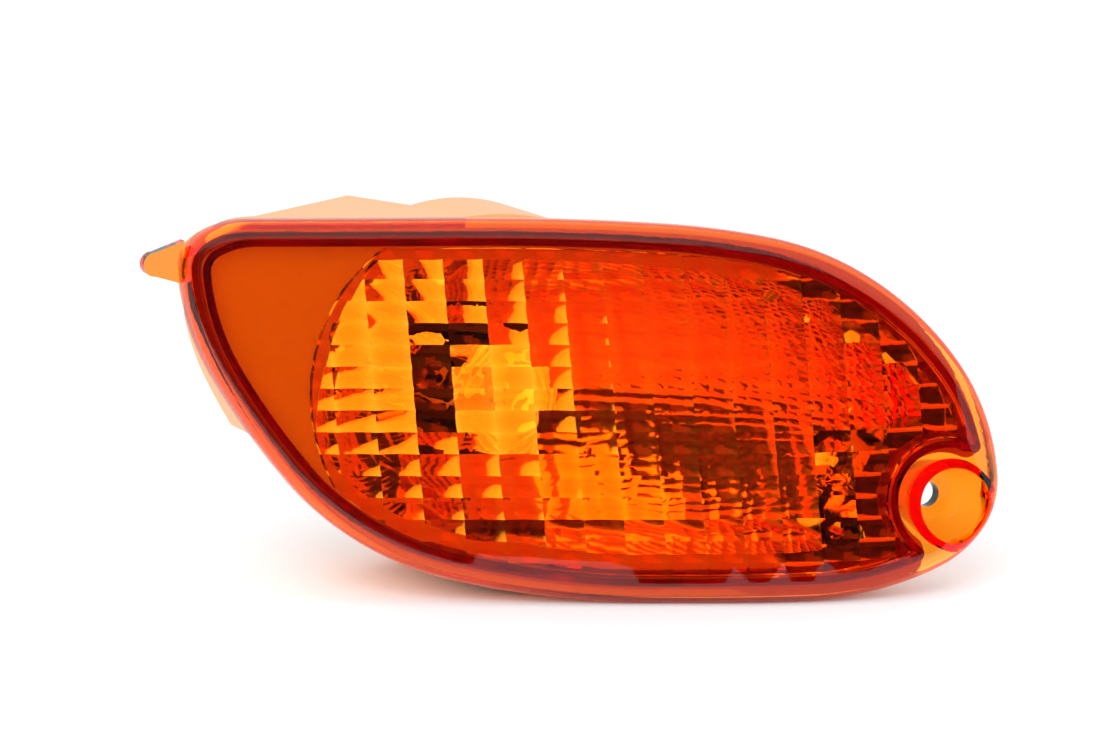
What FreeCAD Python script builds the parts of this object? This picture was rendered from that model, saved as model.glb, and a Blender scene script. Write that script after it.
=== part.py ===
"""Front indicator lamp for a bumper, modelled as a parametric document in millimetres.

The frame is the vehicle's: -Y looks forward, +X is the inner end of the lamp, +Z is up.
The origin is the centre of the fixing-screw hole, on the seat of the screw head.
Every wall of the mouldings runs along Y, the way their moulds open. The lens front is a swept and
leaning plane that bends round to face forward at the inner end.
"""
import FreeCAD, Part
import math
import os
import Sketcher

Vector = FreeCAD.Vector
DRAW = Vector(0, 1, 0)
FAR = 400.0
TOUCH = 0.01
SETTLE_ROUNDS = 40

SIZES = {
    # lens styling surface
    "lens_sweep": 25.0,
    "lens_lean": 10.5,
    "bend_radius": 240.0,
    "bend_run": 62.0,
    "bend_half_turn": 17.0,
    # lens outline, measured from the fixing hole
    "lens_outer_end": 172.0,
    "lens_inner_end": 14.0,
    "lens_top": 70.5,
    "lens_bottom": 23.2,
    "outer_corner_drop": 13.0,
    "outer_corner_run": 17.0,
    "shoulder_run": 75.0,
    "shoulder_drop": 1.2,
    "shoulder_fall": 4.0,
    "brow_run": 31.0,
    "brow_drop": 13.4,
    "brow_fall": 33.0,
    "nose_level": 6.0,
    "chin_run": 17.0,
    "chin_rise": 7.0,
    "chin_fall": 22.0,
    "belly_run": 85.0,
    "cheek_run": 20.0,
    "cheek_rise": 30.0,
    "cheek_fall": 55.0,
    # lens walls
    "lens_wall": 2.8,
    "skirt_wall": 2.4,
    "skirt_depth": 6.5,
    "border_radius": 5.0,
    "rib_wall": 1.8,
    "rib_depth": 12.4,
    # tongue at the outer end
    "tongue_level": 60.0,
    "tongue_length": 9.6,
    "tongue_root": 11.0,
    "tongue_tip": 6.0,
    "tongue_wall": 3.0,
    # screw pocket
    "pocket_depth": 14.0,
    "pocket_mouth": 9.4,
    "pocket_floor": 6.5,
    "pocket_wall": 1.9,
    "seat_wall": 3.0,
    "screw_hole": 3.2,
    # pillow optics
    "pillow_width": 8.94,
    "pillow_height": 5.31,
    "pillow_crown": 0.9,
    "pillow_lift": 0.45,
    "optics_step": 0.3,
    "optics_radius": 50.0,
    "optics_margin": 4.4,
    # housing
    "fit_gap": 0.4,
    "lip_wall": 1.5,
    "lip_depth": 7.0,
    "groove_floor": 2.2,
    "seal_height": 1.5,
    "housing_wall": 2.2,
    "ledge_depth": 11.0,
    "bowl_gap": 1.0,
    "bowl_wall": 3.0,
    "chamber_radius": 46.5,
    "chamber_behind": 10.6,
    "chamber_bevel": 6.0,
    "collar_radius": 18.5,
    "collar_wall": 4.5,
    "collar_length": 6.0,
    "notch_width": 9.0,
    "notch_height": 2.6,
    "notch_turn": 60.0,
    "spigot_offset": 32.0,
    "spigot_turn": 45.0,
    "spigot_radius": 3.2,
    "spigot_bore": 1.6,
    "spigot_length": 8.0,
    # wing of the housing at the outer end
    "wing_wall": 3.4,
    "wing_depth": 4.0,
    "wing_run": 20.0,
    "wing_foot": 18.0,
    "gusset_run": 54.5,
    "gusset_rise": 23.5,
    "gusset_end": 66.0,
    "gusset_heel": 12.0,
    # reflector
    "bulb_reach": 95.3,
    "bulb_level": 24.1,
    "apex_behind": 51.2,
    "focal_length": 28.0,
    "bowl_bands": 12,
    "reflector_wall": 1.8,
    "shoulder_wall": 2.0,
    "reflector_hole": 15.5,
    # bulb
    "light_centre": 31.75,
    "glass_radius": 13.2,
    "glass_wall": 0.9,
    "glass_bands": 8,
    "taper_turn": 126.0,
    "neck_radius": 6.6,
    "neck_depth": 3.0,
    "cap_radius": 7.5,
    "cap_wall": 0.5,
    "cap_front": 11.0,
    "cap_back": 7.0,
    "pin_radius": 1.0,
    "pin_reach": 8.3,
    "insulator_radius": 5.0,
    "insulator_height": 1.6,
    "contact_radius": 3.2,
    "contact_height": 1.6,
    "stem_radius": 4.2,
    "stem_length": 12.0,
    "lead_radius": 0.35,
    "filament_radius": 0.5,
    "filament_length": 6.0,
    # bulb holder
    "lug_height": 1.9,
    "lug_wall": 2.6,
    "lug_width": 8.0,
    "flange_radius": 25.0,
    "holder_wall": 2.4,
    "holder_front": 3.0,
    "flange_wall": 3.0,
    "gasket_height": 1.6,
    "sleeve_wall": 0.6,
    "sleeve_front": 4.0,
    "sleeve_back": 12.0,
    "slot_width": 2.6,
    "floor_wall": 3.0,
    "plunger_wall": 0.8,
    "carrier_wall": 2.0,
    "leaf_reach": 4.6,
    "leaf_wall": 0.4,
    "leaf_width": 4.0,
    "leaf_length": 5.0,
    "foot_radius": 3.8,
    "shroud_width": 22.0,
    "shroud_height": 13.0,
    "shroud_wall": 1.6,
    "shroud_length": 13.0,
    "blade_width": 4.8,
    "blade_wall": 0.8,
    "blade_length": 9.0,
    "blade_pitch": 9.0,
    # breather
    "breather_radius": 5.4,
    "breather_wall": 1.5,
    "breather_length": 7.0,
}

doc = FreeCAD.newDocument("indicator_lamp")
sheet = doc.addObject("Spreadsheet::Sheet", "sizes")
for row, (alias, value) in enumerate(SIZES.items(), start=1):
    sheet.set(f"A{row}", alias)
    sheet.set(f"B{row}", str(value))
    sheet.setAlias(f"B{row}", alias)
doc.recompute()


def size(alias):
    """The value of one cell of the sheet."""
    return float(getattr(sheet, alias))


SUBPARTS = []


def keep(item, label):
    """Names a finished sub-part."""
    item.Label = label
    SUBPARTS.append(item)
    return item


def moulding(label, shape):
    """A free-form moulding made with Part's own functions."""
    item = doc.addObject("Part::Feature", label)
    item.Shape = shape.removeSplitter()
    item.Placement = FreeCAD.Placement()
    return keep(item, label)


# Lens styling surface
sweep = math.radians(size("lens_sweep"))
lean = math.radians(size("lens_lean"))
ALONG = Vector(math.cos(sweep), -math.sin(sweep), 0)
INWARD = Vector(
    math.sin(sweep) * math.cos(lean),
    math.cos(sweep) * math.cos(lean),
    -math.sin(lean),
)
UPWARD = Vector(
    math.sin(sweep) * math.sin(lean),
    math.cos(sweep) * math.sin(lean),
    math.cos(lean),
)


def bend_back(along):
    """How far the bent inner end lies behind the flat of the lens."""
    run = along + size("bend_run")
    if run <= 0:
        return 0.0
    return size("bend_radius") - math.sqrt(size("bend_radius") ** 2 - run**2)


FLAT = Vector(0, -size("pocket_depth"), 0) - INWARD * bend_back(0)


def front_y(x, z):
    """Depth of the lens front at a place of the outline."""
    along, up = 0.0, 0.0
    for _ in range(SETTLE_ROUNDS):
        back = bend_back(along)
        up = (z - FLAT.z - back * INWARD.z) / UPWARD.z
        along = (x - FLAT.x - back * INWARD.x - up * UPWARD.x) / ALONG.x
    return FLAT.y + along * ALONG.y + bend_back(along) * INWARD.y + up * UPWARD.y


def styled(along, back):
    """A point of the plan profile of the lens front."""
    return FLAT + ALONG * along + INWARD * back - UPWARD * FAR / 2


def make_front():
    """A solid that fills everything behind the lens front."""
    start = -size("bend_run")
    radius = size("bend_radius")
    half_turn = math.radians(size("bend_half_turn"))
    middle = styled(start + radius * math.sin(half_turn), radius * (1 - math.cos(half_turn)))
    end_along = start + radius * math.sin(2 * half_turn)
    end_back = radius * (1 - math.cos(2 * half_turn))
    corners = [
        styled(end_along, end_back),
        styled(end_along, FAR),
        styled(-FAR, FAR),
        styled(-FAR, 0),
        styled(start, 0),
    ]
    edges = [Part.LineSegment(a, b).toShape() for a, b in zip(corners, corners[1:])]
    edges.append(Part.Arc(corners[-1], middle, corners[0]).toShape())
    return Part.Face(Part.Wire(edges)).extrude(UPWARD * FAR)


FRONT = make_front()


def behind(depth):
    """Everything deeper than the lens front by a depth along Y."""
    solid = FRONT.copy()
    solid.translate(DRAW * depth)
    return solid


def prism(face):
    """An outline drawn through the whole depth."""
    solid = face.copy()
    solid.translate(DRAW * -FAR / 2)
    return solid.extrude(DRAW * FAR)


def layer(face, start, end):
    """The part of an outline's prism between two depths behind the lens front."""
    return prism(face).common(behind(start)).cut(behind(end))


# Lens outline
def half_arc(start, heading, end):
    """The arc from one point to another that leaves along a heading."""
    chord = end - start
    across = heading - chord * (heading.dot(chord) / chord.dot(chord))
    lean_angle = math.atan2(heading.cross(chord).Length, heading.dot(chord))
    across.normalize()
    crown = start + chord * 0.5 + across * (chord.Length / 2 * math.tan(lean_angle / 2))
    return Part.Arc(start, crown, end).toShape()


def tangent_pair(start, heading, end, arrival):
    """Two tangent arcs between two points with given headings."""
    chord = end - start
    spread = 2 * (1 - heading.dot(arrival))
    reach = chord.dot(heading + arrival)
    step = (math.sqrt(reach**2 + spread * chord.dot(chord)) - reach) / spread
    middle = (start + heading * step + end - arrival * step) * 0.5
    return [half_arc(start, heading, middle), half_arc(end, arrival * -1, middle)]


def heading(degrees):
    """A unit heading in the XZ plane."""
    turn = math.radians(degrees)
    return Vector(math.cos(turn), 0, math.sin(turn))


def lens_outline():
    """The drop-shaped outline as one chain of tangent arcs."""
    outer, inner = -size("lens_outer_end"), size("lens_inner_end")
    top, bottom = size("lens_top"), -size("lens_bottom")
    stations = [
        (outer, top - size("outer_corner_drop"), 90),
        (outer + size("outer_corner_run"), top, 0),
        (inner - size("shoulder_run"), top - size("shoulder_drop"), -size("shoulder_fall")),
        (inner - size("brow_run"), top - size("brow_drop"), -size("brow_fall")),
        (inner, size("nose_level"), -90),
        (inner - size("chin_run"), bottom + size("chin_rise"), 180 + size("chin_fall")),
        (inner - size("belly_run"), bottom, 180),
        (outer + size("cheek_run"), bottom + size("cheek_rise"), 180 - size("cheek_fall")),
    ]
    edges = []
    for here, there in zip(stations, stations[1:] + stations[:1]):
        edges += tangent_pair(
            Vector(here[0], 0, here[1]), heading(here[2]), Vector(there[0], 0, there[1]), heading(there[2])
        )
    return Part.Face(Part.Wire(Part.__sortEdges__(edges)))


def inset(face, distance):
    """An outline moved inwards by a distance."""
    return Part.Face(face.makeOffset2D(-distance).Wires)


def disc(x, z, radius):
    """A round outline."""
    return Part.Face(Part.Wire(Part.makeCircle(radius, Vector(x, 0, z), DRAW)))


OUTLINE = lens_outline()
BULB_X = -size("bulb_reach")
BULB_Z = size("bulb_level")
LENS_AT_BULB = front_y(BULB_X, BULB_Z)
APEX_DEPTH = LENS_AT_BULB + size("apex_behind")
CHAMBER_DEPTH = APEX_DEPTH + size("chamber_behind")


def drum(radius, start, length, x=BULB_X, z=BULB_Z):
    """A cylinder along Y, on the bulb axis unless told otherwise."""
    return Part.makeCylinder(radius, length, Vector(x, start, z), DRAW)


def sealed_outline():
    """The housing's outline: inside the lens skirt and clear of the screw pocket, with round corners."""
    boss = size("pocket_mouth") + size("pocket_wall") + size("fit_gap")
    face = inset(OUTLINE, size("skirt_wall") + size("fit_gap"))
    face = face.cut(disc(0, 0, boss)).Faces[0]
    ease = 2 * size("rib_wall")
    return Part.Face(inset(face, ease).makeOffset2D(ease).Wires)


SEALED = sealed_outline()
RIB_INSET = size("lip_wall") + size("fit_gap")
GROOVE_WIDTH = size("rib_wall") + 2 * size("fit_gap")
BODY_INSET = size("lip_wall") + GROOVE_WIDTH
BOWL_INSET = BODY_INSET + size("housing_wall") + size("fit_gap")


# Lens
def border_edges(solid, wall_depth):
    """The edges where the lens front meets the outline's wall."""
    found = []
    for edge in solid.Edges:
        places = [vertex.Point for vertex in edge.Vertexes]
        places.append(edge.valueAt((edge.FirstParameter + edge.LastParameter) / 2))
        if all(abs(p.y - front_y(p.x, p.z) - wall_depth) < TOUCH for p in places):
            found.append(edge)
    return found


def rounded_front(face, depth, radius):
    """A solid behind the lens front whose front border is rounded."""
    solid = prism(face).common(behind(depth)).cut(behind(depth + FAR / 4))
    outline_edges = [
        edge for edge in border_edges(solid, depth) if not on_bend_line(edge)
    ]
    return solid.makeFillet(radius, outline_edges)


def on_bend_line(edge):
    """True for the edge along which the flat of the lens meets its bend."""
    direction = edge.Vertexes[-1].Point - edge.Vertexes[0].Point
    if direction.Length < 1:
        return False
    return min(direction.getAngle(UPWARD), direction.getAngle(UPWARD * -1)) < TOUCH


def tongue():
    """The flat tongue that hooks behind the bumper's edge."""
    outer = -size("lens_outer_end")
    root = outer + size("skirt_wall") / 2
    tip = outer - size("tongue_length")
    round_tip = size("tongue_tip") / 2
    level = size("tongue_level")
    upper_root = Vector(root, 0, level + size("tongue_root") / 2)
    lower_root = Vector(root, 0, level - size("tongue_root") / 2)
    upper_tip = Vector(tip + round_tip, 0, level + round_tip)
    lower_tip = Vector(tip + round_tip, 0, level - round_tip)
    edges = [
        Part.LineSegment(upper_root, upper_tip).toShape(),
        Part.Arc(upper_tip, Vector(tip, 0, level), lower_tip).toShape(),
        Part.LineSegment(lower_tip, lower_root).toShape(),
        Part.LineSegment(lower_root, upper_root).toShape(),
    ]
    plate = Part.Face(Part.Wire(edges)).extrude(DRAW * size("tongue_wall"))
    rear = front_y(outer, level) + size("skirt_depth")
    plate.translate(DRAW * (rear - size("tongue_wall")))
    return plate


def pocket_cone(extra, start):
    """A cone along the screw axis, from a place in front of the lens to a depth."""
    taper = (size("pocket_mouth") - size("pocket_floor")) / size("pocket_depth")
    length = FAR / 10
    return Part.makeCone(
        size("pocket_floor") + extra + taper * (length + start),
        size("pocket_floor") + extra,
        length + start,
        Vector(0, -length, 0),
        DRAW,
    )


def pillow_patch(corners, crown, lift):
    """One pillow: a bilinear base with a parabolic bulge each way."""
    surface = Part.BezierSurface()
    surface.increase(2, 2)
    for i in range(3):
        for k in range(3):
            u, v = i / 2, k / 2
            base = (
                corners[0] * ((1 - u) * (1 - v))
                + corners[1] * (u * (1 - v))
                + corners[2] * (u * v)
                + corners[3] * ((1 - u) * v)
            )
            bulge = (2 * crown if i == 1 else 0) + (2 * lift if k == 1 else 0)
            surface.setPole(i + 1, k + 1, base + DRAW * bulge)
    return surface.toShape()


def optics_outline():
    """Where the pillows lie: the bowl's circle at the outer end, the rib's outline elsewhere."""
    region = inset(SEALED, size("optics_margin"))
    inner_half = Part.Face(
        Part.makePolygon(
            [
                Vector(BULB_X, 0, -FAR),
                Vector(FAR, 0, -FAR),
                Vector(FAR, 0, FAR),
                Vector(BULB_X, 0, FAR),
                Vector(BULB_X, 0, -FAR),
            ]
        )
    )
    return region.common(disc(BULB_X, BULB_Z, size("optics_radius")).fuse(inner_half)).removeSplitter()


def optics_pad(region):
    """The slab of pillows on the inner face of the lens, cut to its outline."""
    wide, high = size("pillow_width"), size("pillow_height")
    box = region.BoundBox
    first_column = math.floor((box.XMin - BULB_X) / wide)
    last_column = math.ceil((box.XMax - BULB_X) / wide)
    first_row = math.floor((box.ZMin - BULB_Z) / high)
    last_row = math.ceil((box.ZMax - BULB_Z) / high)
    rise = size("lens_wall") + size("optics_step")

    def node(column, row):
        x, z = BULB_X + column * wide, BULB_Z + row * high
        return Vector(x, front_y(x, z) + rise, z)

    patches = []
    for column in range(first_column, last_column):
        for row in range(first_row, last_row):
            corners = [node(column, row), node(column + 1, row)]
            corners += [node(column + 1, row + 1), node(column, row + 1)]
            patches.append(pillow_patch(corners, size("pillow_crown"), size("pillow_lift")))
    skin = Part.Shell(patches)
    skin.sewShape()
    bulge = size("pillow_crown") + size("pillow_lift")
    slab = layer(region, size("lens_wall") / 2, rise + 2 * bulge)
    split, _ = slab.generalFuse([skin])
    return min(split.Solids, key=lambda solid: solid.CenterOfMass.y)


def make_lens():
    """The amber lens: rounded cup, sealing rib, tongue, screw pocket and pillow optics."""
    cup = rounded_front(OUTLINE, 0, size("border_radius"))
    hollow = prism(inset(OUTLINE, size("skirt_wall"))).common(behind(size("lens_wall")))
    skirt = cup.cut(hollow).cut(behind(size("skirt_depth")))
    rib_face = inset(SEALED, RIB_INSET).cut(inset(SEALED, RIB_INSET + size("rib_wall")))
    rib = layer(rib_face, size("lens_wall") / 2, size("rib_depth"))
    boss = pocket_cone(size("pocket_wall"), size("seat_wall")).common(behind(size("lens_wall") / 2))
    boss = boss.common(cup)
    lens = skirt.fuse([tongue(), rib, boss, optics_pad(optics_outline())])
    lens = lens.cut(pocket_cone(0, 0))
    return lens.cut(drum(size("screw_hole"), -FAR / 4, FAR / 2, 0, 0))


# Reflector bowl shared by the reflector and the housing
def bowl(apex):
    """Everything in front of a banded paraboloid with its apex at a depth on the bulb axis."""
    focal = size("focal_length")
    bands = int(size("bowl_bands"))
    radii = [FAR / 3 * step / bands for step in range(bands + 1)]
    profile = [Vector(radius, apex - radius**2 / (4 * focal), 0) for radius in radii]
    profile.append(Vector(0, profile[-1].y, 0))
    face = Part.Face(Part.makePolygon(profile + profile[:1]))
    solid = face.revolve(Vector(0, 0, 0), DRAW, 360)
    solid.translate(Vector(BULB_X, 0, BULB_Z))
    return solid


def make_reflector():
    """The metallised bowl with a shoulder that lies on the housing's ledge."""
    ledge = size("ledge_depth")
    shoulder_front = ledge - size("shoulder_wall")
    wall_face = inset(SEALED, BOWL_INSET)
    mirror_face = inset(SEALED, BOWL_INSET + size("reflector_wall"))
    shoulder_face = inset(SEALED, BODY_INSET + size("fit_gap"))
    back = prism(wall_face).common(behind(shoulder_front)).common(bowl(apex_back()))
    solid = back.fuse(layer(shoulder_face, shoulder_front, ledge))
    solid = solid.cut(prism(mirror_face).common(bowl(APEX_DEPTH)))
    return solid.cut(drum(size("reflector_hole"), 0, FAR))


def apex_back():
    """Depth of the reflector's outer apex."""
    return APEX_DEPTH + size("reflector_wall")


FLANGE_FLOOR = size("rib_depth") + size("seal_height")
FLANGE_BACK = FLANGE_FLOOR + size("groove_floor")
COLLAR_END = CHAMBER_DEPTH + size("collar_length")


def key_ways(solid_radius, start, length, width, turn):
    """Three radial keys round the bulb axis, each as wide as given."""
    keys = []
    for step in range(3):
        key = Part.makeBox(solid_radius, length, width, Vector(0, start, -width / 2))
        key.rotate(Vector(0, 0, 0), DRAW, turn + 120 * step)
        key.translate(Vector(BULB_X, 0, BULB_Z))
        keys.append(key.common(drum(solid_radius, start, length)))
    return keys[0].fuse(keys[1:])


def make_chamber(wall):
    """The round chamber behind the bowl with a bevelled rear edge, moved inwards by a wall."""
    depth = CHAMBER_DEPTH - wall
    solid = drum(size("chamber_radius") - wall, -FAR / 4, depth + FAR / 4)
    rear = [edge for edge in solid.Edges if abs(edge.CenterOfMass.y - depth) < TOUCH]
    return solid.makeChamfer(size("chamber_bevel"), rear)


def make_wing():
    """The wing at the outer end, flush with the lens: an ear at the side and a gusset along the top."""
    outer = -size("lens_outer_end")
    rear = front_y(outer, size("tongue_level")) + size("wing_depth")
    corners = [
        Vector(outer - FAR / 4, -FAR / 2, size("wing_foot")),
        Vector(outer + size("gusset_end"), -FAR / 2, size("wing_foot")),
        Vector(outer + size("gusset_end"), rear - size("gusset_heel"), size("wing_foot")),
        Vector(outer + size("gusset_run"), rear + size("gusset_rise"), size("wing_foot")),
        Vector(outer + size("wing_run"), rear, size("wing_foot")),
        Vector(outer - FAR / 4, rear, size("wing_foot")),
    ]
    plan = Part.Face(Part.makePolygon(corners + corners[:1])).extrude(Vector(0, 0, FAR))
    rim = prism(OUTLINE.cut(inset(OUTLINE, size("wing_wall"))))
    return rim.common(behind(size("lip_depth"))).common(plan)


def make_housing():
    """The rear shell: grooved flange, bowl, round chamber, wing, collar for the bulb holder and spigot."""
    wall = size("housing_wall")
    ledge = size("ledge_depth")
    body_face = inset(SEALED, BODY_INSET)
    inside_face = inset(SEALED, BODY_INSET + wall)
    inner_apex = apex_back() + size("bowl_gap")
    round_back = make_chamber(0)
    room = make_chamber(wall)
    shell = layer(SEALED, size("lip_depth"), FLANGE_BACK)
    forms = [
        prism(body_face).common(behind(ledge)).common(bowl(inner_apex + size("bowl_wall"))),
        layer(body_face, ledge, FLANGE_BACK),
        round_back.common(behind(FLANGE_FLOOR)),
        make_wing(),
    ]
    for form in forms:
        shell = shell.fuse(form)
    groove_face = inset(SEALED, size("lip_wall")).cut(body_face)
    spigot_turn = math.radians(size("spigot_turn"))
    spigot_x = BULB_X - size("spigot_offset") * math.cos(spigot_turn)
    spigot_z = BULB_Z + size("spigot_offset") * math.sin(spigot_turn)
    hollow = [
        layer(groove_face, 0, FLANGE_FLOOR),
        prism(body_face).cut(behind(ledge)),
        prism(inside_face).common(bowl(inner_apex)),
        prism(inside_face).common(room),
        room.common(behind(FLANGE_BACK)),
    ]
    for cut in hollow:
        shell = shell.cut(cut)
    back = CHAMBER_DEPTH - wall
    collar = drum(size("collar_radius") + size("collar_wall"), back, wall + size("collar_length"))
    spigot = drum(size("spigot_radius"), back, wall + size("spigot_length"), spigot_x, spigot_z)
    shell = shell.fuse([collar, spigot])
    shell = shell.cut(drum(size("collar_radius"), back - wall, FAR))
    notch_radius = size("collar_radius") + size("notch_height")
    shell = shell.cut(key_ways(notch_radius, back - wall, FAR / 4, size("notch_width"), size("notch_turn")))
    return shell.cut(drum(size("spigot_bore"), back - wall, FAR, spigot_x, spigot_z))


def make_seal():
    """The sealing bead under the lens rib."""
    face = inset(SEALED, size("lip_wall")).cut(inset(SEALED, BODY_INSET))
    return layer(face, size("rib_depth"), FLANGE_FLOOR)


# Turned pieces on the bulb axis
class Length:
    """A length with its value and the expression that binds it to the sheet."""

    def __init__(self, value, text):
        self.value = value
        self.text = text

    def __add__(self, other):
        return Length(self.value + other.value, f"({self.text} + {other.text})")

    def __sub__(self, other):
        return Length(self.value - other.value, f"({self.text} - {other.text})")

    def times(self, factor):
        """This length multiplied by a plain number."""
        return Length(self.value * factor, f"({self.text} * {factor})")


def cell(alias):
    """One cell of the sheet as a length."""
    return Length(size(alias), f"sizes.{alias}")


AXIS = Length(0.0, "0")


def turned(label, profile, offset_x="-sizes.bulb_reach", offset_z="sizes.bulb_level"):
    """A turned piece: a closed profile of radius and depth, revolved about the draw axis."""
    body = doc.addObject("PartDesign::Body", label)
    sketch = body.newObject("Sketcher::SketchObject", label + "_profile")
    plane = next(item for item in body.Origin.OriginFeatures if item.Role == "XY_Plane")
    sketch.AttachmentSupport = [(plane, "")]
    sketch.MapMode = "FlatFace"
    points = [Vector(radius.value, depth.value, 0) for radius, depth in profile]
    for start, end in zip(points, points[1:] + points[:1]):
        sketch.addGeometry(Part.LineSegment(start, end), False)
    count = len(points)
    for index in range(count):
        sketch.addConstraint(Sketcher.Constraint("Coincident", index, 2, (index + 1) % count, 1))
    for index, (radius, depth) in enumerate(profile):
        if radius is AXIS:
            sketch.addConstraint(Sketcher.Constraint("PointOnObject", index, 1, -2))
        else:
            across = Sketcher.Constraint("DistanceX", -1, 1, index, 1, radius.value)
            sketch.setExpression(f"Constraints[{sketch.addConstraint(across)}]", radius.text)
        along = Sketcher.Constraint("DistanceY", -1, 1, index, 1, depth.value)
        sketch.setExpression(f"Constraints[{sketch.addConstraint(along)}]", depth.text)
    turn = body.newObject("PartDesign::Revolution", label + "_turn")
    turn.Profile = sketch
    turn.ReferenceAxis = (sketch, ["V_Axis"])
    turn.Angle = 360
    body.setExpression("Placement.Base.x", offset_x)
    body.setExpression("Placement.Base.z", offset_z)
    return keep(body, label)


def ring(inner, outer, front, back):
    """The profile of a plain ring."""
    return [(inner, front), (outer, front), (outer, back), (inner, back)]


def plug(radius, front, back):
    """The profile of a plain disc."""
    return [(AXIS, front), (radius, front), (radius, back), (AXIS, back)]


APEX = Length(LENS_AT_BULB, str(LENS_AT_BULB)) + cell("apex_behind")
CHAMBER = APEX + cell("chamber_behind")
FOCUS = APEX - cell("focal_length")
PIN = FOCUS + cell("light_centre")
CAP_FRONT = PIN - cell("cap_front")
CAP_BACK = PIN + cell("cap_back")
CONTACT_END = CAP_BACK + cell("insulator_height") + cell("contact_height")
CARRIER_BACK = CONTACT_END + cell("plunger_wall") + cell("carrier_wall")
SPRING_END = CARRIER_BACK + cell("leaf_length")
FOOT_END = SPRING_END + cell("blade_wall")
SLEEVE_INNER = cell("cap_radius") + cell("fit_gap")
SLEEVE_OUTER = SLEEVE_INNER + cell("sleeve_wall")
NECK_END = CAP_FRONT + cell("neck_depth")


def primitive(kind, name, **bound):
    """A Part primitive whose properties are bound to lengths."""
    item = doc.addObject(kind, name)
    for prop, length in bound.items():
        path = prop.replace("place_", "Placement.Base.")
        item.setExpression(path, length.text)
    return item


def along_draw(item):
    """Turns a primitive's own axis to point along Y."""
    item.Placement.Rotation = FreeCAD.Rotation(Vector(1, 0, 0), -90)


def along_width(item):
    """Turns a primitive's own axis to point along X."""
    item.Placement.Rotation = FreeCAD.Rotation(Vector(0, 1, 0), 90)


BULB_ACROSS = cell("bulb_reach").times(-1)
BULB_UP = cell("bulb_level")


def glass_side(shrink):
    """One side of the glass from its tip to the end of its neck, moved inwards by a wall."""
    bands = int(size("glass_bands"))
    side = []
    for step in range(bands + 1):
        turn = math.radians(size("taper_turn") * step / bands)
        ball = cell("glass_radius") - shrink
        radius = ball.times(math.sin(turn)) if step else AXIS
        side.append((radius, FOCUS - ball.times(math.cos(turn))))
    neck = cell("neck_radius") - shrink
    return side + [(neck, CAP_FRONT), (neck, NECK_END)]


def make_bulb():
    """The clear bayonet bulb: envelope, stem, leads, filament, cap, pins, insulator and contact."""
    turned("bulb_glass", glass_side(AXIS) + glass_side(cell("glass_wall"))[::-1])
    stem_front = NECK_END - cell("stem_length")
    flare = cell("neck_radius") - cell("glass_wall")
    turned(
        "bulb_stem",
        [
            (AXIS, stem_front),
            (cell("stem_radius"), stem_front),
            (cell("stem_radius"), NECK_END - cell("cap_wall")),
            (flare, NECK_END),
            (AXIS, NECK_END),
        ],
    )
    lead_offset = cell("filament_length").times(0.5) + cell("lead_radius")
    leads = []
    for name, side in (("lead_outer", -1), ("lead_inner", 1)):
        lead = primitive(
            "Part::Cylinder",
            name,
            Radius=cell("lead_radius"),
            Height=stem_front - FOCUS + cell("filament_radius"),
            place_x=BULB_ACROSS + lead_offset.times(side),
            place_y=FOCUS - cell("filament_radius"),
            place_z=BULB_UP,
        )
        along_draw(lead)
        leads.append(lead)
    pair = doc.addObject("Part::Compound", "filament_supports")
    pair.Links = leads
    keep(pair, "filament_supports")
    filament = primitive(
        "Part::Cylinder",
        "filament",
        Radius=cell("filament_radius"),
        Height=cell("filament_length"),
        place_x=BULB_ACROSS - cell("filament_length").times(0.5),
        place_y=FOCUS,
        place_z=BULB_UP,
    )
    along_width(filament)
    keep(filament, "filament")

    cap_inner = cell("cap_radius") - cell("cap_wall")
    turned(
        "bulb_cap",
        [
            (cap_inner, CAP_FRONT),
            (cell("cap_radius"), CAP_FRONT),
            (cell("cap_radius"), CAP_BACK),
            (cell("insulator_radius"), CAP_BACK),
            (cell("insulator_radius"), CAP_BACK - cell("cap_wall")),
            (cap_inner, CAP_BACK - cell("cap_wall")),
        ],
    )
    pins = []
    for name, start in (("pin_outer", cell("pin_reach").times(-1)), ("pin_inner", cell("cap_radius"))):
        pin = primitive(
            "Part::Cylinder",
            name,
            Radius=cell("pin_radius"),
            Height=cell("pin_reach") - cell("cap_radius"),
            place_x=BULB_ACROSS + start,
            place_y=PIN,
            place_z=BULB_UP,
        )
        along_width(pin)
        pins.append(pin)
    pair = doc.addObject("Part::Compound", "bayonet_pins")
    pair.Links = pins
    keep(pair, "bayonet_pins")
    turned(
        "cap_insulator",
        [
            (AXIS, CAP_BACK - cell("cap_wall")),
            (cell("insulator_radius"), CAP_BACK - cell("cap_wall")),
            (cell("insulator_radius"), CAP_BACK),
            (cell("contact_radius"), CAP_BACK + cell("insulator_height")),
            (AXIS, CAP_BACK + cell("insulator_height")),
        ],
    )
    turned(
        "cap_contact",
        [
            (AXIS, CAP_BACK + cell("insulator_height")),
            (cell("contact_radius"), CAP_BACK + cell("insulator_height")),
            (cell("contact_radius").times(0.5), CONTACT_END),
            (AXIS, CONTACT_END),
        ],
    )


# Bulb holder
HOLDER_FRONT = PIN.value - size("holder_front")
GASKET_BACK = COLLAR_END + size("gasket_height")
HOLDER_FLANGE_BACK = GASKET_BACK + size("flange_wall")
SHROUD_FLOOR = FOOT_END.value + size("floor_wall")
SHROUD_END = SHROUD_FLOOR + size("shroud_length")


def block(width, start, end, height):
    """A box centred on the bulb axis."""
    return Part.makeBox(
        width, end - start, height, Vector(BULB_X - width / 2, start, BULB_Z - height / 2)
    )


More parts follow.
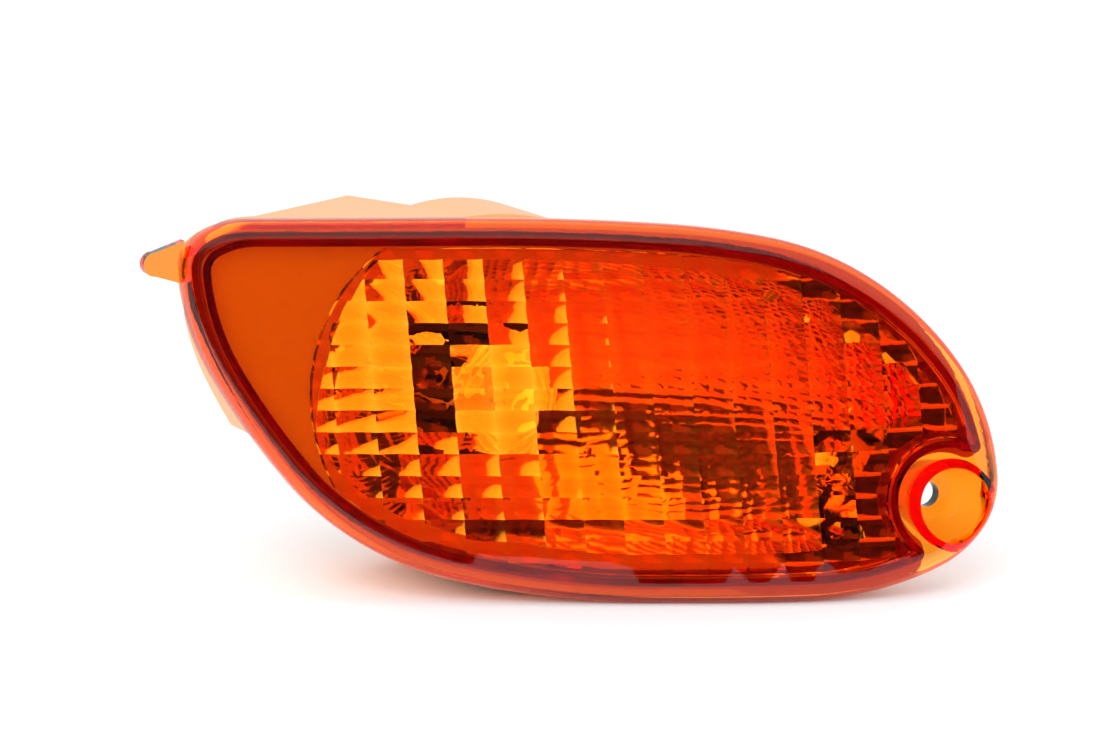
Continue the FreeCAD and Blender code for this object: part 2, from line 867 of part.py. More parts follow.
def blade_slot(side, room):
    """The path of one terminal blade through the floor of the holder."""
    width = size("blade_wall") + 2 * room
    height = size("blade_width") + 2 * room
    slot = block(width, SPRING_END.value, SHROUD_END + FAR, height)
    slot.translate(Vector(side * size("blade_pitch") / 2, 0, 0))
    return slot


def make_holder_body():
    """The twist-lock carrier: skirt with three lugs, flange, socket tube, grips and connector shroud."""
    skirt_radius = size("collar_radius") - size("fit_gap")
    bore = SLEEVE_OUTER.value
    tube = bore + size("holder_wall")
    lug_back = CHAMBER_DEPTH - size("housing_wall") - size("fit_gap")
    lug_front = lug_back - size("lug_wall")
    skirt = drum(skirt_radius, HOLDER_FRONT, HOLDER_FLANGE_BACK - HOLDER_FRONT)
    web = drum(skirt_radius - size("holder_wall"), HOLDER_FRONT, COLLAR_END - HOLDER_FRONT)
    lugs = key_ways(skirt_radius + size("lug_height"), lug_front, size("lug_wall"), size("lug_width"), 0)
    solid = skirt.cut(web)
    solid = solid.fuse(
        [
            drum(size("flange_radius"), GASKET_BACK, size("flange_wall")),
            drum(tube, HOLDER_FRONT, SHROUD_FLOOR - HOLDER_FRONT),
            block(size("shroud_width"), GASKET_BACK, SHROUD_END, size("shroud_height")),
            lugs.cut(drum(skirt_radius - size("holder_wall"), lug_front, size("lug_wall"))),
            grip_bars(),
        ]
    )
    cavity = block(
        size("shroud_width") - 2 * size("shroud_wall"),
        SHROUD_FLOOR,
        SHROUD_END,
        size("shroud_height") - 2 * size("shroud_wall"),
    )
    solid = solid.cut(drum(bore, 0, FOOT_END.value)).cut(cavity)
    for side in (-1, 1):
        solid = solid.cut(blade_slot(side, 0))
    return solid


def grip_bars():
    """The two finger grips across the back of the flange."""
    reach = size("flange_radius") - size("holder_wall")
    bar = block(size("holder_wall"), HOLDER_FLANGE_BACK - size("flange_wall") / 2, SHROUD_FLOOR, 2 * reach)
    round_end = drum(reach, 0, FAR)
    return bar.common(round_end)


def make_terminal(side):
    """A connector blade with its foot inside the holder."""
    tip = SHROUD_FLOOR + size("blade_length")
    blade = block(size("blade_wall"), SPRING_END.value, tip, size("blade_width"))
    blade.translate(Vector(side * size("blade_pitch") / 2, 0, 0))
    return blade


def make_live_terminal():
    """The live blade, with a disc for the contact spring to stand on."""
    foot = drum(size("foot_radius"), SPRING_END.value, size("blade_wall"))
    strap = Part.makeBox(
        size("blade_pitch") / 2,
        size("blade_wall"),
        size("blade_width") / 2,
        Vector(BULB_X - size("blade_pitch") / 2, SPRING_END.value, BULB_Z - size("blade_width") / 4),
    )
    return foot.fuse([strap, make_terminal(-1)])


def make_earth_terminal():
    """The earth blade, with a riser that touches the end of the socket sleeve."""
    start = size("blade_pitch") / 2
    foot = Part.makeBox(
        SLEEVE_OUTER.value - size("sleeve_wall") / 4 - start,
        size("blade_wall"),
        size("blade_width") / 2,
        Vector(BULB_X + start, SPRING_END.value, BULB_Z - size("blade_width") / 4),
    )
    sleeve_end = PIN.value + size("sleeve_back")
    riser_x = BULB_X + SLEEVE_OUTER.value - size("sleeve_wall") * 3 / 4
    riser = Part.makeBox(
        size("sleeve_wall") / 2,
        FOOT_END.value - sleeve_end,
        size("blade_width") / 2,
        Vector(riser_x, sleeve_end, BULB_Z - size("blade_width") / 4),
    )
    return foot.fuse([riser, make_terminal(1)])


def make_sleeve():
    """The socket sleeve with two hooked bayonet slots."""
    front = PIN.value - size("sleeve_front")
    length = size("sleeve_front") + size("sleeve_back")
    solid = drum(SLEEVE_OUTER.value, front, length).cut(drum(SLEEVE_INNER.value, front, length))
    for side in (0, 180):
        entry = Part.makeBox(
            2 * size("cap_radius"),
            size("sleeve_front") + size("slot_width") / 2,
            size("slot_width"),
            Vector(0, front, size("slot_width") / 2),
        )
        hook = Part.makeBox(
            2 * size("cap_radius"),
            size("slot_width"),
            2 * size("slot_width"),
            Vector(0, PIN.value - size("slot_width") / 2, -size("slot_width") / 2),
        )
        slot = entry.fuse(hook)
        slot.rotate(Vector(0, 0, 0), DRAW, side)
        slot.translate(Vector(BULB_X, 0, BULB_Z))
        solid = solid.cut(slot)
    return solid


def make_spring():
    """The hairpin leaf spring between the contact carrier and the live terminal."""
    reach, wall = size("leaf_reach"), size("leaf_wall")
    front, back = CARRIER_BACK.value, SPRING_END.value
    middle = (front + back) / 2
    corners = [
        Vector(-reach, back, 0),
        Vector(reach, middle, 0),
        Vector(-reach, front, 0),
        Vector(-reach, front + wall, 0),
        Vector(reach - 2 * wall, middle, 0),
        Vector(-reach, back - wall, 0),
    ]
    strip = Part.Face(Part.makePolygon(corners + corners[:1])).extrude(Vector(0, 0, size("leaf_width")))
    strip.translate(Vector(BULB_X, 0, BULB_Z - size("leaf_width") / 2))
    return strip


def make_holder():
    """The bulb holder with its gasket, sleeve, sprung contact and terminals."""
    moulding("holder_body", make_holder_body())
    inner = cell("collar_radius") - cell("fit_gap")
    collar_end = CHAMBER + cell("collar_length")
    outer = cell("collar_radius") + cell("collar_wall")
    turned("holder_gasket", ring(inner, outer, collar_end, collar_end + cell("gasket_height")))
    moulding("socket_sleeve", make_sleeve())
    plate = cell("cap_radius") - cell("cap_wall")
    turned("contact_plate", plug(cell("contact_radius"), CONTACT_END, CONTACT_END + cell("plunger_wall")))
    turned("contact_carrier", plug(plate, CONTACT_END + cell("plunger_wall"), CARRIER_BACK))
    moulding("contact_spring", make_spring())
    moulding("live_terminal", make_live_terminal())
    moulding("earth_terminal", make_earth_terminal())


def make_breather():
    """The rubber breather cap pushed over the housing's spigot."""
    spigot_end = CHAMBER + cell("spigot_length")
    front = spigot_end - cell("breather_length")
    turned(
        "breather_cap",
        [
            (cell("spigot_radius"), front),
            (cell("breather_radius"), front),
            (cell("breather_radius"), spigot_end),
            (cell("breather_radius") - cell("breather_wall"), spigot_end + cell("breather_wall")),
            (AXIS, spigot_end + cell("breather_wall")),
            (AXIS, spigot_end),
            (cell("spigot_radius"), spigot_end),
        ],
        "-sizes.bulb_reach - sizes.spigot_offset * cos(sizes.spigot_turn)",
        "sizes.bulb_level + sizes.spigot_offset * sin(sizes.spigot_turn)",
    )


def check_and_write():
    """Stops at any failed object or bad shape, then writes one file for each sub-part."""
    doc.recompute()
    for item in doc.Objects:
        if "Invalid" in item.State or "Error" in item.State:
            raise RuntimeError(f"{item.Label} failed: {item.State}")
    for item in SUBPARTS:
        if item.Shape.isNull() or not item.Shape.isValid():
            raise RuntimeError(f"{item.Label} has no valid shape")
    os.makedirs("parts", exist_ok=True)
    for item in SUBPARTS:
        item.Shape.exportStep(f"parts/{item.Label}.step")
        print(item.Label, len(item.Shape.Solids), round(item.Shape.Volume, 1))


moulding("lens", make_lens())
moulding("lens_seal", make_seal())
moulding("housing", make_housing())
moulding("reflector", make_reflector())
make_bulb()
make_holder()
make_breather()
check_and_write()
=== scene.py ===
"""Looks of an amber front indicator lamp, dressed over its packed construction model.

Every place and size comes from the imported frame, in metres: -Y looks forward out of the lens, +X is the
inner end, +Z is up, and the origin is the fixing-screw hole.
"""
import logging
import math
from dataclasses import dataclass
from enum import Enum

import bpy
from mathutils import Matrix, Vector


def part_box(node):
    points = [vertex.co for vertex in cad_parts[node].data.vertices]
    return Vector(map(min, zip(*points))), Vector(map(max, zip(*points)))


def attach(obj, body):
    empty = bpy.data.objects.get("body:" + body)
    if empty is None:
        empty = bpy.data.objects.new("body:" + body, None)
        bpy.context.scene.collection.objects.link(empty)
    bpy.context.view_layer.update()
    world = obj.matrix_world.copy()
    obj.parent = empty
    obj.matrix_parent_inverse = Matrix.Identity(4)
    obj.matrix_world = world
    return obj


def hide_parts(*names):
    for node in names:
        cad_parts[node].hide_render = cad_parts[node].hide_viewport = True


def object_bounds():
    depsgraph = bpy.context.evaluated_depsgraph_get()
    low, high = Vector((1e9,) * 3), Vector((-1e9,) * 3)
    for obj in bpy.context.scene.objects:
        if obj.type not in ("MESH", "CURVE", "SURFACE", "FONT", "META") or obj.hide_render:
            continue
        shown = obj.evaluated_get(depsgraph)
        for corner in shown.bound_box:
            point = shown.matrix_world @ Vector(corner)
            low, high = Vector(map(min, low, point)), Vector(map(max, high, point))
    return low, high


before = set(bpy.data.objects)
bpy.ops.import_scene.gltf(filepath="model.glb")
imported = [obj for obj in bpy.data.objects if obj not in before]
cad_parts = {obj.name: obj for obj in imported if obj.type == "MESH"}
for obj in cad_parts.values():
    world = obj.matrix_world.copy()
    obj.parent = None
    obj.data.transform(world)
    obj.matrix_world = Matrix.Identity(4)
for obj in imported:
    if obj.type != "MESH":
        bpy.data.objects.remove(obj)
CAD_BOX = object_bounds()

logging.basicConfig(level=logging.INFO, format="%(message)s")
LOG = logging.getLogger("lamp")
MM = 0.001
BODY = "root"
WELD_DISTANCE = 0.002 * MM
FLAT_ANGLE = 1.0
EDGE_STEPS = 2
WHITE = (1.0, 1.0, 1.0, 1.0)
AIM = (-0.08, 0.03, 0.024)
Colour = tuple[float, float, float]
Place = tuple[float, float, float]


class Grain(Enum):
    """How finely a finish varies over a surface, in waves per metre."""

    BROAD = 60.0
    MOULDED = 450.0
    FINE = 1800.0


class Board:
    """The node tree of one material, with short ways to add and join nodes.

    Attributes:
        noise_detail: How many finer layers a noise has.
        bump_strength: How strongly a moulded texture shows.
    """

    noise_detail = 3.0
    bump_strength = 0.4

    def __init__(self, name: str) -> None:
        """Starts a material that holds one principled shader.

        Args:
            name: The material's name.
        """
        self.material = bpy.data.materials.new(name)
        self.material.use_nodes = True
        self.tree = self.material.node_tree
        self.tree.nodes.clear()
        self.output = self.tree.nodes.new("ShaderNodeOutputMaterial")
        self.shader = self.tree.nodes.new("ShaderNodeBsdfPrincipled")
        self.tree.links.new(self.shader.outputs["BSDF"], self.output.inputs["Surface"])

    def put(self, **values: object) -> None:
        """Sets plain values on the shader.

        Args:
            values: Socket names with underscores for spaces, and their values.
        """
        for name, value in values.items():
            self.shader.inputs[name.replace("_", " ")].default_value = value

    def noise(self, grain: Grain) -> bpy.types.NodeSocket:
        """A noise that lies still on the piece.

        Args:
            grain: How finely it varies.

        Returns:
            The socket with the noise value.
        """
        place = self.tree.nodes.new("ShaderNodeTexCoord")
        texture = self.tree.nodes.new("ShaderNodeTexNoise")
        texture.inputs["Scale"].default_value = grain.value
        texture.inputs["Detail"].default_value = self.noise_detail
        self.tree.links.new(place.outputs["Object"], texture.inputs["Vector"])
        return texture.outputs["Fac"]

    def vary_roughness(self, grain: Grain, low: float, high: float) -> None:
        """Lets the roughness wander between two values.

        Args:
            grain: How finely it varies.
            low: The smoothest value.
            high: The roughest value.
        """
        spread = self.tree.nodes.new("ShaderNodeMapRange")
        spread.inputs["To Min"].default_value = low
        spread.inputs["To Max"].default_value = high
        self.tree.links.new(self.noise(grain), spread.inputs["Value"])
        self.tree.links.new(spread.outputs["Result"], self.shader.inputs["Roughness"])

    def vary_colour(self, grain: Grain, dark: Colour, light: Colour) -> None:
        """Lets the base colour wander between two tones.

        Args:
            grain: How finely it varies.
            dark: The darker tone.
            light: The lighter tone.
        """
        ramp = self.tree.nodes.new("ShaderNodeValToRGB")
        ramp.color_ramp.elements[0].color = (*dark, 1.0)
        ramp.color_ramp.elements[1].color = (*light, 1.0)
        self.tree.links.new(self.noise(grain), ramp.inputs["Fac"])
        self.tree.links.new(ramp.outputs["Color"], self.shader.inputs["Base Color"])

    def vary_height(self, grain: Grain, height: float) -> None:
        """Gives the surface a fine moulded texture.

        Args:
            grain: How finely it varies.
            height: The height of the texture in metres.
        """
        bump = self.tree.nodes.new("ShaderNodeBump")
        bump.inputs["Strength"].default_value = self.bump_strength
        bump.inputs["Distance"].default_value = height
        self.tree.links.new(self.noise(grain), bump.inputs["Height"])
        self.tree.links.new(bump.outputs["Normal"], self.shader.inputs["Normal"])


@dataclass(frozen=True)
class Opaque:
    """A finish of a plain solid material.

    Attributes:
        name: The material's name.
        dark: The darker tone of its colour.
        light: The lighter tone of its colour.
        low: The smoothest roughness.
        high: The roughest roughness.
        metallic: 1 for bare metal, 0 otherwise.
        texture: The height of its moulded texture in metres.
    """

    name: str
    dark: Colour
    light: Colour
    low: float
    high: float
    metallic: float = 0.0
    texture: float = 0.0

    def build(self) -> bpy.types.Material:
        """Makes the material.

        Returns:
            The new material.
        """
        board = Board(self.name)
        board.put(Metallic=self.metallic)
        board.vary_colour(Grain.MOULDED, self.dark, self.light)
        board.vary_roughness(Grain.BROAD, self.low, self.high)
        if self.texture:
            board.vary_height(Grain.FINE, self.texture)
        return board.material


@dataclass(frozen=True)
class Metallised:
    """The reflector's finish: a metallised bowl beside a flat shoulder that was masked and stayed matt.

    Attributes:
        name: The material's name.
        tone: The colour of the bright metal and of the bare shoulder.
        bright: The roughness of the bowl.
        matt: The roughness of the shoulder.
        facing: The way into the lamp, square to the shoulder.
        shoulder: How far the shoulder lies along that way, in metres.
        fade: The depth over which the finish changes, in metres.
    """

    name: str
    tone: Colour
    bright: float
    matt: float
    facing: Place
    shoulder: float
    fade: float

    def build(self) -> bpy.types.Material:
        """Makes the material.

        Returns:
            The new material.
        """
        board = Board(self.name)
        board.put(Base_Color=(*self.tone, 1.0))
        place = board.tree.nodes.new("ShaderNodeTexCoord")
        depth = board.tree.nodes.new("ShaderNodeVectorMath")
        depth.operation = "DOT_PRODUCT"
        depth.inputs[1].default_value = self.facing
        board.tree.links.new(place.outputs["Object"], depth.inputs[0])
        ends = {"Roughness": (self.matt, self.bright), "Metallic": (0.0, 1.0)}
        for socket, (bare, coated) in ends.items():
            change = board.tree.nodes.new("ShaderNodeMapRange")
            change.inputs["From Min"].default_value = self.shoulder
            change.inputs["From Max"].default_value = self.shoulder + self.fade
            change.inputs["To Min"].default_value = bare
            change.inputs["To Max"].default_value = coated
            board.tree.links.new(depth.outputs["Value"], change.inputs["Value"])
            board.tree.links.new(change.outputs["Result"], board.shader.inputs[socket])
        return board.material


@dataclass(frozen=True)
class Clear:
    """A finish that light passes through.

    Attributes:
        name: The material's name.
        index: The index of refraction.
        density: How strongly the body absorbs, per metre.
        tint: The colour that the body lets pass.
        low: The smoothest roughness.
        high: The roughest roughness.
        glow: The strength of a painted glow, light painted into the surface.
        glow_tone: The colour of that painted glow.
    """

    name: str
    index: float
    density: float
    tint: Colour
    low: float
    high: float
    glow: float = 0.0
    glow_tone: Colour = (1.0, 0.93, 0.8)

    def build(self) -> bpy.types.Material:
        """Makes the material.

        Returns:
            The new material.
        """
        board = Board(self.name)
        board.put(Base_Color=WHITE, IOR=self.index, Transmission_Weight=1.0)
        board.put(Emission_Color=(*self.glow_tone, 1.0), Emission_Strength=self.glow)
        board.vary_roughness(Grain.BROAD, self.low, self.high)
        if self.density:
            body = board.tree.nodes.new("ShaderNodeVolumeAbsorption")
            body.inputs["Color"].default_value = (*self.tint, 1.0)
            body.inputs["Density"].default_value = self.density
            board.tree.links.new(body.outputs["Volume"], board.output.inputs["Volume"])
        return board.material


Finish = Opaque | Metallised | Clear
NO_TINT = (1.0, 1.0, 1.0)
LENS_FACING = (0.4155, 0.8911, -0.1822)

AMBER = Clear(
    "amber_acrylic", index=1.49, density=1500.0, tint=(1.0, 0.728, 0.0), low=0.0, high=0.02
)
BULB_CLEAR = Clear("bulb_glass", index=1.5, density=0.0, tint=NO_TINT, low=0.0, high=0.01)
# Painted glow: the bulb glass gets a weak light of its own, standing in for the bright patch round the
# bulb; the bulb is not switched on.
BULB_PAINTED_GLOW = Clear(
    "bulb_glass_painted_glow", index=1.5, density=0.0, tint=NO_TINT, low=0.0, high=0.01, glow=0.4
)
SHELL = Opaque(
    "housing_plastic",
    dark=(0.86, 0.32, 0.11),
    light=(0.9, 0.37, 0.14),
    low=0.3,
    high=0.42,
    texture=0.02 * MM,
)
MIRROR = Metallised(
    "bright_metallising",
    tone=(0.93, 0.93, 0.92),
    bright=0.05,
    matt=0.9,
    facing=LENS_FACING,
    shoulder=-12.2 * MM,
    fade=0.6 * MM,
)
TUNGSTEN = Opaque(
    "tungsten", dark=(0.22, 0.21, 0.2), light=(0.4, 0.39, 0.38), low=0.3, high=0.5, metallic=1.0
)
STEEL = Opaque(
    "steel", dark=(0.5, 0.5, 0.49), light=(0.66, 0.66, 0.65), low=0.2, high=0.36, metallic=1.0
)
BRASS = Opaque(
    "brass", dark=(0.68, 0.47, 0.18), light=(0.84, 0.62, 0.3), low=0.2, high=0.36, metallic=1.0
)
DARK_GLASS = Opaque(
    "dark_glass", dark=(0.012, 0.012, 0.016), light=(0.03, 0.03, 0.035), low=0.08, high=0.16
)
SOLDER = Opaque(
    "solder", dark=(0.42, 0.42, 0.41), light=(0.6, 0.6, 0.59), low=0.35, high=0.55, metallic=1.0
)
CARRIER = Opaque(
    "holder_plastic",
    dark=(0.018, 0.018, 0.02),
    light=(0.035, 0.035, 0.038),
    low=0.35,
    high=0.5,
    texture=0.03 * MM,
)
RUBBER = Opaque(
    "rubber",
    dark=(0.016, 0.016, 0.016),
    light=(0.03, 0.03, 0.03),
    low=0.6,
    high=0.78,
    texture=0.02 * MM,
)
SEALANT = Opaque(
    "sealing_compound", dark=(0.9, 0.55, 0.3), light=(0.94, 0.6, 0.34), low=0.5, high=0.7
)
FLOOR_PAINT = Opaque(
    "floor_paint", dark=(0.86, 0.86, 0.87), light=(0.9, 0.9, 0.9), low=0.7, high=0.85
)
CARD_CLOTH = Opaque(
    "card_cloth", dark=(0.01, 0.01, 0.01), light=(0.02, 0.02, 0.02), low=0.8, high=0.9
)


class Piece:
    """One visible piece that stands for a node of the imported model."""

    def __init__(self, node: str, edge_angle: float = 30.0) -> None:
        """Copies a node's mesh, joins its loose triangles and shades it smooth.

        Args:
            node: The node that the piece stands for.
            edge_angle: The angle in degrees past which an edge stays sharp.
        """
        self.node = node
        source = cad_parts[node]
        self.item = source.copy()
        self.item.data = source.data.copy()
        self.item.name = node + "_look"
        self.item.parent = None
        for key in list(self.item.keys()):
            del self.item[key]
        bpy.context.scene.collection.objects.link(self.item)
        self.select()
        bpy.ops.object.mode_set(mode="EDIT")
        bpy.ops.mesh.select_all(action="SELECT")
        bpy.ops.mesh.customdata_custom_splitnormals_clear()
        bpy.ops.mesh.remove_doubles(threshold=WELD_DISTANCE)
        bpy.ops.object.mode_set(mode="OBJECT")
        bpy.ops.object.shade_smooth_by_angle(angle=math.radians(edge_angle))

    def select(self) -> None:
        """Makes this piece the only selected one."""
        bpy.ops.object.select_all(action="DESELECT")
        self.item.select_set(True)
        bpy.context.view_layer.objects.active = self.item

    def soften(self, width: float, edge_angle: float = 40.0) -> "Piece":
        """Rounds the sharp edges a little, as moulded and pressed edges are.

        Args:
            width: How wide the rounding is, in metres.
            edge_angle: The angle in degrees past which an edge is rounded.

        Returns:
            This piece.
        """
        self.select()
        bpy.ops.object.mode_set(mode="EDIT")
        bpy.ops.mesh.select_all(action="SELECT")
        bpy.ops.mesh.dissolve_limited(angle_limit=math.radians(FLAT_ANGLE))
        bpy.ops.object.mode_set(mode="OBJECT")
        bevel = self.item.modifiers.new("soft_edges", "BEVEL")
        bevel.width = width
        bevel.segments = EDGE_STEPS
        bevel.limit_method = "ANGLE"
        bevel.angle_limit = math.radians(edge_angle)
        bpy.ops.object.modifier_apply(modifier=bevel.name)
        bpy.ops.object.shade_smooth_by_angle(angle=math.radians(edge_angle))
        return self

    def dress(self, finish: Finish, slot: str) -> None:
        """Gives the piece its finish and ties it to the frame.

        Args:
            finish: The finish it wears.
            slot: The record's material slot; not used.
        """
        self.item.data.materials.clear()
        self.item.data.materials.append(finish.build())
        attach(self.item, BODY)
        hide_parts(self.node)
        LOG.info("%s: %d faces in %s", self.item.name, len(self.item.data.polygons), finish.name)


@dataclass
class Lens:
    """The amber lens with its pillow optics.

    Attributes:
        edge_angle: The angle in degrees past which its edges stay sharp.
    """

    edge_angle: float = 18.0

    def build(self) -> None:
        """Makes the lens look."""
        Piece("lens", self.edge_angle).dress(AMBER, "amber_acrylic")


@dataclass
class Shell:
    """The housing behind the lens with its seal, reflector and breather.

    Attributes:
        bowl_angle: The angle in degrees past which edges of housing and reflector stay sharp.
    """

    bowl_angle: float = 35.0

    def build(self) -> None:
        """Makes the looks of the rear shell."""
        Piece("housing", self.bowl_angle).dress(SHELL, "housing_plastic")
        Piece("reflector", self.bowl_angle).dress(MIRROR, "bright_metallising")
        Piece("lens_seal").dress(SEALANT, "sealing_compound")
        Piece("breather_cap").dress(RUBBER, "rubber")


@dataclass
class Coil:
    """The coiled filament, wound inside the outline of its plain rod.

    Attributes:
        turns: How many turns it has.
        wire: The radius of its wire in metres.
        steps: How many steps make one turn.
        wire_sides: How many sides the wire has.
    """

    turns: int = 9
    wire: float = 0.11 * MM
    steps: int = 20
    wire_sides: int = 8

    def build(self) -> None:
        """Winds the coil along the rod's axis."""
        low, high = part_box("filament")
        middle = (low + high) / 2
        radius = (high.z - low.z) / 2 - self.wire
        pitch = (high.x - low.x - 2 * self.wire) / self.turns
        bpy.ops.object.select_all(action="DESELECT")
        bpy.ops.mesh.primitive_circle_add(
            vertices=self.wire_sides, radius=self.wire, location=(low.x + self.wire, radius, 0.0)
        )
        coil = bpy.context.object
        coil.name = "filament_coil"
        bpy.ops.object.transform_apply(location=True, rotation=True, scale=True)
        screw = coil.modifiers.new("winding", "SCREW")
        screw.axis = "X"
        screw.screw_offset = pitch
        screw.iterations = self.turns
        screw.steps = self.steps
        screw.render_steps = self.steps
        bpy.ops.object.modifier_apply(modifier=screw.name)
        bpy.ops.transform.translate(value=(0.0, middle.y, middle.z))
        bpy.ops.object.transform_apply(location=True, rotation=True, scale=True)
        bpy.ops.object.mode_set(mode="EDIT")
        bpy.ops.mesh.select_all(action="SELECT")
        bpy.ops.mesh.normals_make_consistent(inside=False)
        bpy.ops.object.mode_set(mode="OBJECT")
        bpy.ops.object.shade_smooth()
        coil.data.materials.append(TUNGSTEN.build())
        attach(coil, BODY)
        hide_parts("filament")
        LOG.info("%s: %d turns", coil.name, self.turns)


@dataclass
class Bulb:
    """The bayonet bulb.

    Attributes:
        glass_angle: The angle in degrees past which edges of the glass stay sharp.
    """

    glass_angle: float = 40.0

    def build(self) -> None:
        """Makes the looks of the bulb."""
        # The bulb glass wears a painted glow in place of the bright patch round the bulb.
        Piece("bulb_glass", self.glass_angle).dress(BULB_PAINTED_GLOW, "bulb_glass")
        Piece("bulb_stem").dress(BULB_CLEAR, "bulb_glass")
        Coil().build()
        Piece("filament_supports").dress(STEEL, "steel")
        Piece("bulb_cap").dress(BRASS, "brass")
        Piece("bayonet_pins").dress(BRASS, "brass")
        Piece("cap_insulator").dress(DARK_GLASS, "dark_glass")
        Piece("cap_contact").dress(SOLDER, "solder")


@dataclass
class Holder:
    """The twist-lock bulb holder.

    Attributes:
        moulded_edge: The rounding of moulded edges in metres.
        pressed_edge: The rounding of pressed metal edges in metres.
    """

    moulded_edge: float = 0.35 * MM
    pressed_edge: float = 0.12 * MM

    def build(self) -> None:
        """Makes the looks of the holder."""
        Piece("holder_body").soften(self.moulded_edge).dress(CARRIER, "holder_plastic")
        Piece("holder_gasket").dress(RUBBER, "rubber")
        Piece("socket_sleeve").dress(STEEL, "steel")
        Piece("contact_plate").dress(BRASS, "brass")
        Piece("contact_carrier").dress(DARK_GLASS, "dark_glass")
        Piece("contact_spring").dress(STEEL, "steel")
        Piece("live_terminal").soften(self.pressed_edge).dress(BRASS, "brass")
        Piece("earth_terminal").soften(self.pressed_edge).dress(BRASS, "brass")


@dataclass(frozen=True)
class SoftBox:
    """A soft light, filtered so that no glossy face mirrors it.

    Attributes:
        name: The light's name.
        place: Where it stands.
        side: The length of its side.
        power: Its power in watts.
    """

    name: str
    place: Place
    side: float
    power: float

    def stand(self) -> None:
        """Adds the light, looking at the lamp."""
        data = bpy.data.lights.new(self.name, "AREA")
        data.size = self.side
        data.energy = self.power
        lamp = bpy.data.objects.new(self.name, data)
        lamp.location = self.place
        ahead = Vector(AIM) - Vector(self.place)
        lamp.rotation_euler = ahead.to_track_quat("-Z", "Y").to_euler()
        lamp.visible_glossy = False
        bpy.context.scene.collection.objects.link(lamp)


@dataclass(frozen=True)
class Card:
    """A dark card out of sight in the room, for the lens and the reflector to show.

    Attributes:
        name: The card's name.
        place: Where the middle of the card stands.
        wide: Its width.
        high: Its height.
    """

    name: str
    place: Place
    wide: float
    high: float

    def stand(self) -> None:
        """Adds the card, facing the lamp, without a shadow."""
        bpy.ops.mesh.primitive_plane_add(size=1.0, location=self.place)
        card = bpy.context.object
        card.name = self.name
        card.scale = (self.wide, self.high, 1.0)
        ahead = Vector(AIM) - Vector(self.place)
        card.rotation_euler = ahead.to_track_quat("Z", "Y").to_euler()
        card.data.materials.append(CARD_CLOTH.build())
        card.visible_camera = False
        card.visible_diffuse = False
        card.visible_shadow = False


@dataclass
class Studio:
    """The floor, the light and the white room.

    Attributes:
        floor_reach: How far the floor reaches each way, in metres.
        ambient: The strength of the room's own light.
        white: The strength at which the room shows as white.
        key: The light.
        cards: The dark cards.
    """

    floor_reach: float = 3.0
    ambient: float = 1.15
    white: float = 1.0
    key: SoftBox = SoftBox("key", (-0.8, -0.85, 0.75), side=1.0, power=13.0)
    cards: tuple[Card, ...] = (
        Card("side_card", (-1.15, -0.5, 0.2), wide=0.9, high=0.9),
        Card("front_card", (-0.42, -1.2, 0.26), wide=1.7, high=0.46),
    )

    def build(self) -> None:
        """Sets the studio up under the lamp."""
        level = min(corner[2] for corner in CAD_BOX)
        bpy.ops.mesh.primitive_plane_add(size=2 * self.floor_reach, location=(0, 0, level))
        floor = bpy.context.object
        floor.name = "floor"
        floor.data.materials.append(FLOOR_PAINT.build())
        self.key.stand()
        for card in self.cards:
            card.stand()
        self.world()
        LOG.info("studio: floor, %s and %d cards", self.key.name, len(self.cards))

    def world(self) -> None:
        """Makes the room white to the eye and soft as a light."""
        world = bpy.data.worlds.new("white_room")
        bpy.context.scene.world = world
        world.use_nodes = True
        tree = world.node_tree
        tree.nodes.clear()
        output = tree.nodes.new("ShaderNodeOutputWorld")
        back = tree.nodes.new("ShaderNodeBackground")
        path = tree.nodes.new("ShaderNodeLightPath")
        first = self.larger(tree, path.outputs["Is Camera Ray"], path.outputs["Is Glossy Ray"])
        seen = self.larger(tree, first, path.outputs["Is Transmission Ray"])
        spread = tree.nodes.new("ShaderNodeMapRange")
        spread.inputs["To Min"].default_value = self.ambient
        spread.inputs["To Max"].default_value = self.white
        tree.links.new(seen, spread.inputs["Value"])
        tree.links.new(spread.outputs["Result"], back.inputs["Strength"])
        back.inputs["Color"].default_value = WHITE
        tree.links.new(back.outputs["Background"], output.inputs["Surface"])

    @staticmethod
    def larger(
        tree: bpy.types.NodeTree, first: bpy.types.NodeSocket, second: bpy.types.NodeSocket
    ) -> bpy.types.NodeSocket:
        """The larger of two values.

        Args:
            tree: The node tree.
            first: One value.
            second: The other value.

        Returns:
            The socket with the larger value.
        """
        node = tree.nodes.new("ShaderNodeMath")
        node.operation = "MAXIMUM"
        tree.links.new(first, node.inputs[0])
        tree.links.new(second, node.inputs[1])
        return node.outputs["Value"]


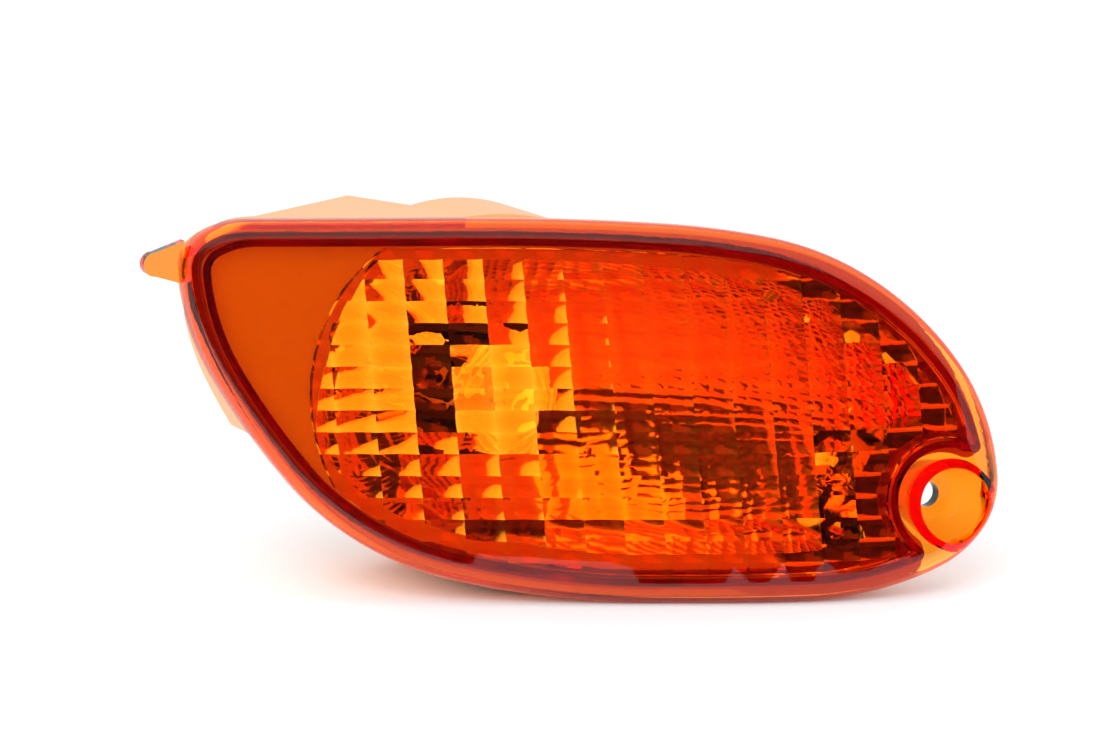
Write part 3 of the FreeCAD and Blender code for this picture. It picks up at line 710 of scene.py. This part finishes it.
@dataclass
class Viewpoint:
    """The photograph's viewpoint, found from the lens outline and the screw pocket.

    Attributes:
        azimuth: The turn about the vertical in degrees.
        elevation: The rise above the horizon in degrees.
        distance: From the eye to the flat of the lens, in metres.
        scale: Pixels per metre on the flat of the lens.
        width: The width of the photograph in pixels.
        height: Its height in pixels.
        pocket_across: Where the screw pocket's mouth lies across the photograph, in pixels.
        pocket_down: Where it lies down the photograph, in pixels.
        pocket_depth: From the pocket's mouth to its seat, in metres.
        bend_back: How far the mouth lies behind the flat of the lens, in metres.
        sensor: The width of the film in millimetres.
        near: From the eye to the nearest thing that it sees, in metres.
    """

    azimuth: float = -25.0
    elevation: float = 10.5
    distance: float = 1.0
    scale: float = 4050.0
    width: float = 1110.0
    height: float = 740.0
    pocket_across: float = 956.0
    pocket_down: float = 505.0
    pocket_depth: float = 0.014
    bend_back: float = 0.00815
    sensor: float = 36.0
    near: float = 0.05

    def build(self) -> None:
        """Makes the camera."""
        turn, rise = math.radians(self.azimuth), math.radians(self.elevation)
        right = Vector((math.cos(turn), math.sin(turn), 0.0))
        ahead = Vector(
            (-math.sin(turn) * math.cos(rise), math.cos(turn) * math.cos(rise), -math.sin(rise))
        )
        up = right.cross(ahead)
        focal = self.scale * self.distance
        depth = self.distance + self.bend_back
        across = (self.pocket_across - self.width / 2) / focal * depth
        down = (self.pocket_down - self.height / 2) / focal * depth
        mouth = Vector((0.0, -self.pocket_depth, 0.0))
        eye = mouth - ahead * depth - right * across + up * down
        data = bpy.data.cameras.new("photo_camera")
        data.sensor_width = self.sensor
        data.lens = self.sensor * focal / self.width
        data.clip_start = self.near
        camera = bpy.data.objects.new("photo_camera", data)
        turned = Matrix((right, up, -ahead)).transposed().to_4x4()
        camera.matrix_world = Matrix.Translation(eye) @ turned
        bpy.context.scene.collection.objects.link(camera)
        bpy.context.scene.camera = camera
        LOG.info("camera at %s", [round(value, 4) for value in eye])


def main() -> None:
    """Builds the looks of the lamp and its studio."""
    bpy.context.scene.view_settings.view_transform = "Standard"
    Lens().build()
    Shell().build()
    Bulb().build()
    Holder().build()
    Studio().build()
    Viewpoint().build()


if __name__ == "__main__":
    main()
